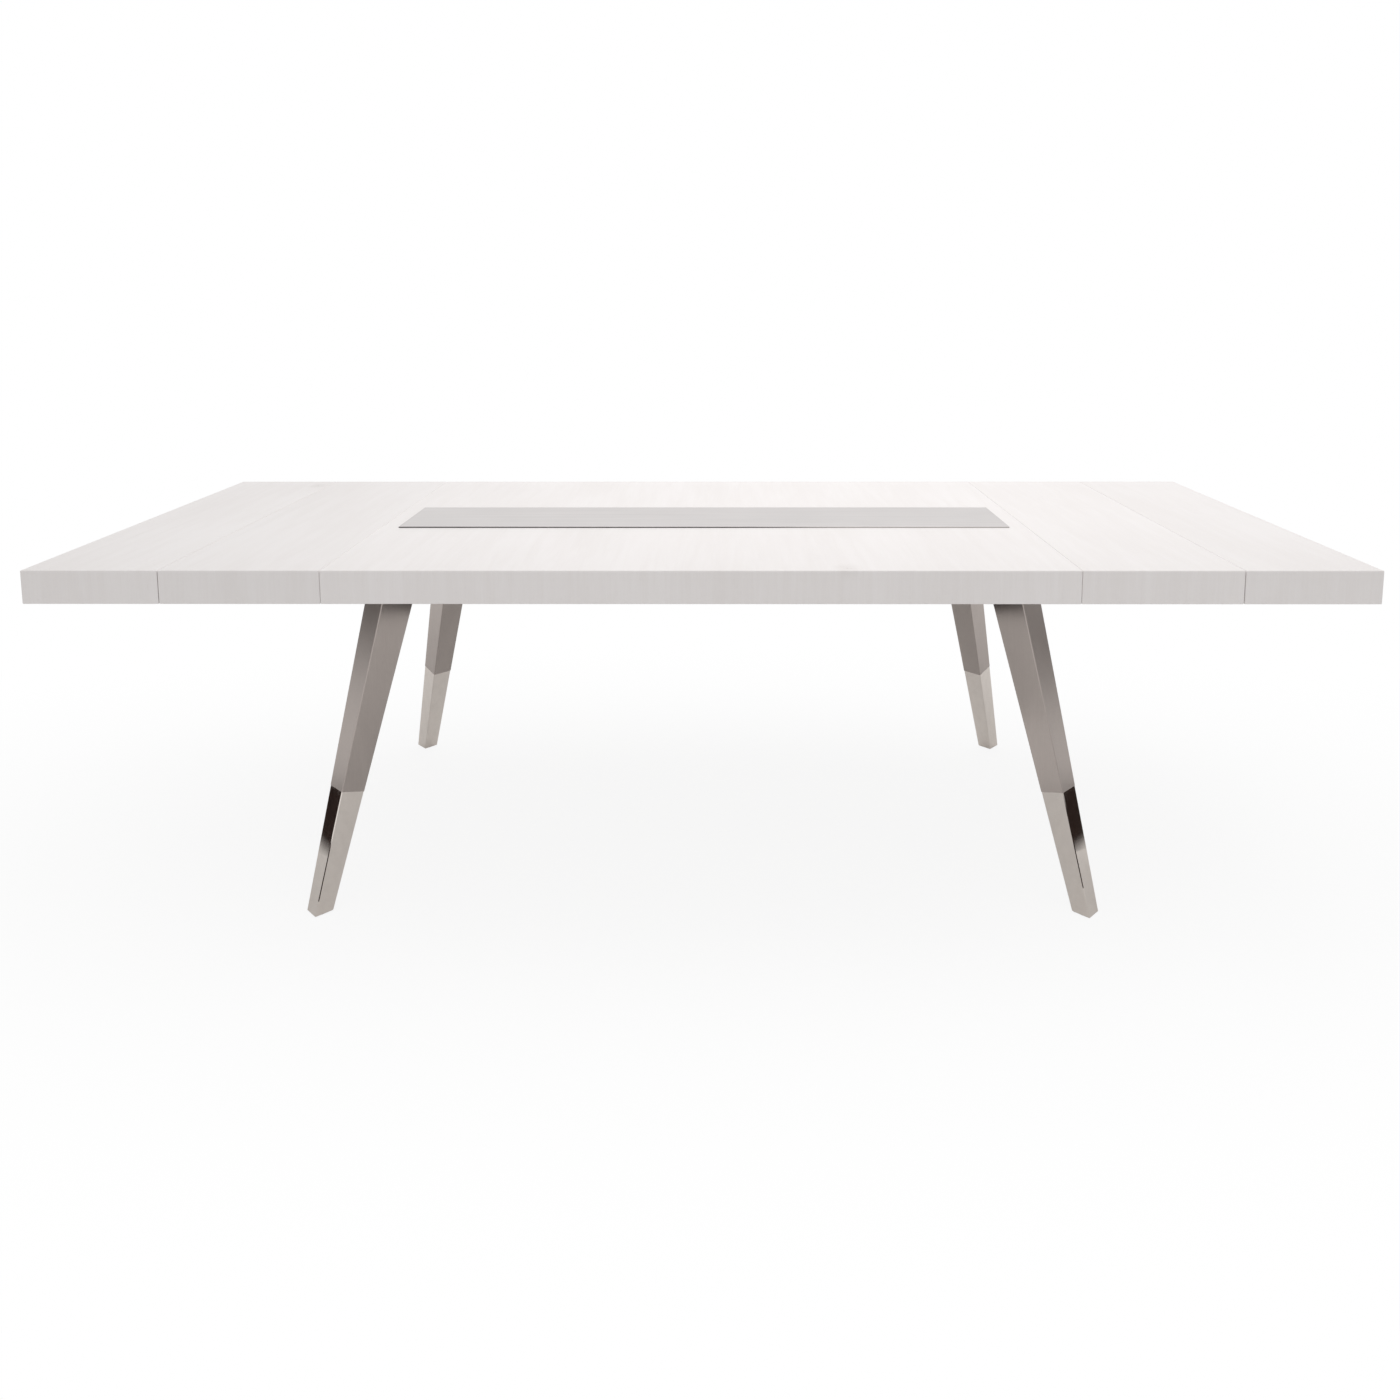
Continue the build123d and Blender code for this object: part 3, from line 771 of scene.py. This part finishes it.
def seen_rays(tree, kinds):
    """1 for rays of these kinds, 0 for the rest."""
    rays = tree.nodes.new("ShaderNodeLightPath")
    result = rays.outputs[kinds[0]]
    for kind in kinds[1:]:
        either = tree.nodes.new("ShaderNodeMath")
        either.operation = "MAXIMUM"
        tree.links.new(result, either.inputs[0])
        tree.links.new(rays.outputs[kind], either.inputs[1])
        result = either.outputs[0]
    return result


world = bpy.data.worlds.new("studio")
bpy.context.scene.world = world
world.use_nodes = True
sky = world.node_tree
sky_shown = seen_rays(sky, ("Is Camera Ray", "Is Glossy Ray", "Is Transmission Ray"))
strength = sky.nodes.new("ShaderNodeMapRange")
strength.inputs["To Min"].default_value = WORLD_LIGHT
strength.inputs["To Max"].default_value = 1.0
background = sky.nodes["Background"]
background.inputs["Color"].default_value = WHITE
sky.links.new(sky_shown, strength.inputs["Value"])
sky.links.new(strength.outputs[0], background.inputs["Strength"])


def flat_sheet(name, corners, material):
    """A flat sheet of the studio, not part of the table."""
    mesh = bpy.data.meshes.new(name)
    mesh.from_pydata(corners, [], [tuple(range(len(corners)))])
    mesh.materials.append(material)
    sheet = bpy.data.objects.new(name, mesh)
    bpy.context.scene.collection.objects.link(sheet)
    return sheet


# The floor keeps the table's shadow near the table and turns white away from it. How near is
# measured in half axes of an oval on the floor.
FLOOR_HALF = 40.0
FLOOR_DARK = (0.93, 0.93, 0.93, 1)
FLOOR_LIGHT = (0.96, 0.96, 0.96, 1)
OVAL_LENGTH = 1.3       # the oval's half axes
OVAL_DEPTH = 0.55
FADED = 2.6             # from here on the floor is white
CAMERA_FADE = 0.6       # up to here the camera sees the most shadow, and from here on less
METAL_FADE = 1.0        # the same for reflections
CAMERA_WHITE = 0.88     # share of white over the most shadow, for the camera
METAL_WHITE = 0.25      # and for reflections
GRIT_SCALE = 60         # noise cells per metre


def floor_material():
    """A matt white floor that turns to plain white away from the table."""
    graph = Graph("floor")
    x, y, _ = graph.position()
    x_squared = graph.math("POWER", graph.scaled(x, 1 / OVAL_LENGTH), 2.0)
    y_squared = graph.math("POWER", graph.scaled(y, 1 / OVAL_DEPTH), 2.0)
    reach = graph.math("SQRT", graph.total(x_squared, y_squared))

    by_camera = seen_rays(graph.tree, ("Is Camera Ray",))
    by_metal = seen_rays(graph.tree, ("Is Glossy Ray", "Is Transmission Ray"))
    for_camera = graph.span(reach, CAMERA_FADE, FADED, CAMERA_WHITE, 1.0)
    for_metal = graph.math("MAXIMUM", graph.span(reach, METAL_FADE, FADED), METAL_WHITE)
    whiteness = graph.math(
        "MAXIMUM", graph.scaled(by_camera, for_camera), graph.scaled(by_metal, for_metal)
    )

    grit_place = graph.vector(graph.scaled(x, GRIT_SCALE), graph.scaled(y, GRIT_SCALE), 0.0)
    grit = graph.noise(grit_place, detail=3)
    graph.surface(
        Base_Color=graph.blend(graph.span(grit, *CLOUD_RANGE), FLOOR_DARK, FLOOR_LIGHT),
        Roughness=0.9,
        Specular_IOR_Level=0.0,
    )
    white = graph.tree.nodes.new("ShaderNodeEmission")
    white.inputs["Strength"].default_value = 1.0
    either = graph.tree.nodes.new("ShaderNodeMixShader")
    graph.put(either.inputs[0], whiteness)
    graph.put(either.inputs[1], graph.shader.outputs[0])
    graph.put(either.inputs[2], white.outputs[0])
    graph.put(graph.tree.nodes["Material Output"].inputs["Surface"], either.outputs[0])
    return graph.material


corner_signs = ((-1, -1), (1, -1), (1, 1), (-1, 1))
floor_corners = [(x * FLOOR_HALF, y * FLOOR_HALF, 0) for x, y in corner_signs]
flat_sheet("floor", floor_corners, floor_material())

# Studio cards that only reflections see, as painted reflections. Dark ones stand low beside the
# feet, high and further out, and in front of each front leg's crease, and hang under the top inside
# of the legs as painted shade on the legs' tops. A white one glows beside the front right leg as a
# painted reflection of light. The photographed table was lit unevenly, so the sides differ.
CARD_BLACK = (0.060, 0.042, 0.038, 1)
LOW_CARD_X = 1.36
LOW_CARD_Y = (-0.38, -0.20)
LOW_CARD_RISE = {"left": 0.0, "right": 0.02}
LOW_CARD_TOP = {"left": 0.163, "right": 0.172}
LOW_CARD_FADE = (0.0, 0.05)     # heights over which a low card comes in from its foot
LOW_CARD_SLOPE = 0.4            # these heights rise towards the rear
LOW_CARD_LEVEL_Y = -0.28        # from this Y
HIGH_CARD_X = 2.3
HIGH_CARD_Y = (-1.0, 0.8)
HIGH_CARD_Z = {"left": (0.28, 1.10), "right": (0.26, 0.66)}
HIGH_CARD_FADE = {"left": (0.28, 0.68), "right": (0.26, 0.42)}
HIGH_CARD_SHOWN = {"left": 1.0, "right": 0.75}
HANGING_CARD_Y = (-0.50, 0.50)
HANGING_CARD_GAP = 0.14         # from the middle of a leg's top
HANGING_CARD_HEIGHT = 0.112
CREASE_CARD_X = (0.84, 1.25)
CREASE_CARD_Y = {"left": -0.62, "right": -0.78}
CREASE_CARD_HEIGHT = 0.45
CREASE_CARD_FADE = (0.17, 0.22)     # heights over which it thins out upwards
CREASE_CARD_SHOWN = 0.45            # and what is left of it above
WHITE_CARD_X = 0.40
WHITE_CARD_Y = (-0.62, -0.30)
WHITE_CARD_Z = (0.08, 0.27)
WHITE_CARD_LIGHT = 0.92


def dark_card_material(name, fade, shown, slope=0.0):
    """Dull black whose cover changes over a range of heights, from one share to another."""
    graph = Graph(name)
    _, y, z = graph.position()
    rise = graph.scaled(graph.math("SUBTRACT", y, LOW_CARD_LEVEL_Y), slope)
    cover = graph.span(graph.math("SUBTRACT", z, rise), *fade, *shown)
    return graph.surface(
        Base_Color=CARD_BLACK, Roughness=1.0, Specular_IOR_Level=0.0, Alpha=cover
    )


def white_card_material(name):
    """An even white glow, a painted reflection of light."""
    return Graph(name).surface(
        Base_Color=(0, 0, 0, 1),
        Roughness=1.0,
        Specular_IOR_Level=0.0,
        Emission_Color=WHITE,
        Emission_Strength=WHITE_CARD_LIGHT,
    )


def card_across(x, depths, heights):
    """The corners of an upright card that faces along X."""
    (front, rear), (low, high) = depths, heights
    return [(x, front, low), (x, rear, low), (x, rear, high), (x, front, high)]


def hidden_card(name, corners, material, rise=0.0):
    """Adds a card that only reflections see, raised as a whole so that its fade goes with it."""
    card = flat_sheet(name, corners, material)
    card.location.z = rise
    card.visible_camera = False
    card.visible_diffuse = False
    card.visible_shadow = False
    card.visible_transmission = False


# The hanging cards lie above the fade of the low cards, so they share one material
dark = dark_card_material("card", LOW_CARD_FADE, (0.0, 1.0), LOW_CARD_SLOPE)
crease = dark_card_material("crease_card", CREASE_CARD_FADE, (1.0, CREASE_CARD_SHOWN))
for side, sign in SIDES.items():
    rise = LOW_CARD_RISE[side]
    low_card = card_across(sign * LOW_CARD_X, LOW_CARD_Y, (0.0, LOW_CARD_TOP[side] - rise))
    hidden_card(side + "_low_card", low_card, dark, rise)

    thin = dark_card_material(
        side + "_high_card", HIGH_CARD_FADE[side], (0.0, HIGH_CARD_SHOWN[side])
    )
    high_card = card_across(sign * HIGH_CARD_X, HIGH_CARD_Y, HIGH_CARD_Z[side])
    hidden_card(side + "_high_card", high_card, thin)

    # Painted shade: a dark card under the top inside each leg darkens the leg's top in its
    # reflections
    hanging_x = sign * (LEG_PLATE_MIDDLE.x - HANGING_CARD_GAP)
    hanging_z = (EDGE_BOTTOM - HANGING_CARD_HEIGHT, EDGE_BOTTOM)
    hidden_card(side + "_hanging_card", card_across(hanging_x, HANGING_CARD_Y, hanging_z), dark)

    near, far = (sign * x for x in CREASE_CARD_X)
    outline = ((near, 0.0), (far, 0.0), (far, CREASE_CARD_HEIGHT), (near, CREASE_CARD_HEIGHT))
    crease_card = [(x, CREASE_CARD_Y[side], z) for x, z in outline]
    hidden_card(side + "_crease_card", crease_card, crease)

# Painted reflection of light: a glowing white card that only reflections in the front right leg see
white_card = card_across(WHITE_CARD_X, WHITE_CARD_Y, WHITE_CARD_Z)
hidden_card("right_bounce_card", white_card, white_card_material("bounce"))

# A wide soft lamp overhead, a little to the right and behind
LAMP_PLACE = (0.45, 0.35, 2.7)
LAMP_SIZE = (2.6, 1.7)
LAMP_POWER = 20.5
lamp_data = bpy.data.lights.new("overhead", "AREA")
lamp_data.shape = "RECTANGLE"
lamp_data.size, lamp_data.size_y = LAMP_SIZE
lamp_data.energy = LAMP_POWER
lamp = bpy.data.objects.new("overhead", lamp_data)
lamp.location = LAMP_PLACE
bpy.context.scene.collection.objects.link(lamp)

# Camera, fitted to the photograph
CAMERA_PLACE = (0.043, -2.610, 1.307)
CAMERA_PITCH = 7.11     # degrees below the horizon
CAMERA_ROLL = 0.05
CAMERA_YAW = 0.236
CAMERA_SENSOR = 36.0    # millimetres, as the lens
CAMERA_LENS = 28.21
CAMERA_SHIFT = (-0.0126, -0.1944)
LEVEL = 90              # a camera turned so far up from straight down looks at the horizon
camera_data = bpy.data.cameras.new("camera")
camera_data.sensor_width = CAMERA_SENSOR
camera_data.lens = CAMERA_LENS
camera_data.shift_x, camera_data.shift_y = CAMERA_SHIFT
camera = bpy.data.objects.new("camera", camera_data)
camera.location = CAMERA_PLACE
camera.rotation_euler = [radians(turn) for turn in (LEVEL - CAMERA_PITCH, CAMERA_ROLL, CAMERA_YAW)]
bpy.context.scene.collection.objects.link(camera)
bpy.context.scene.camera = camera

bpy.context.scene.view_settings.view_transform = "Standard"
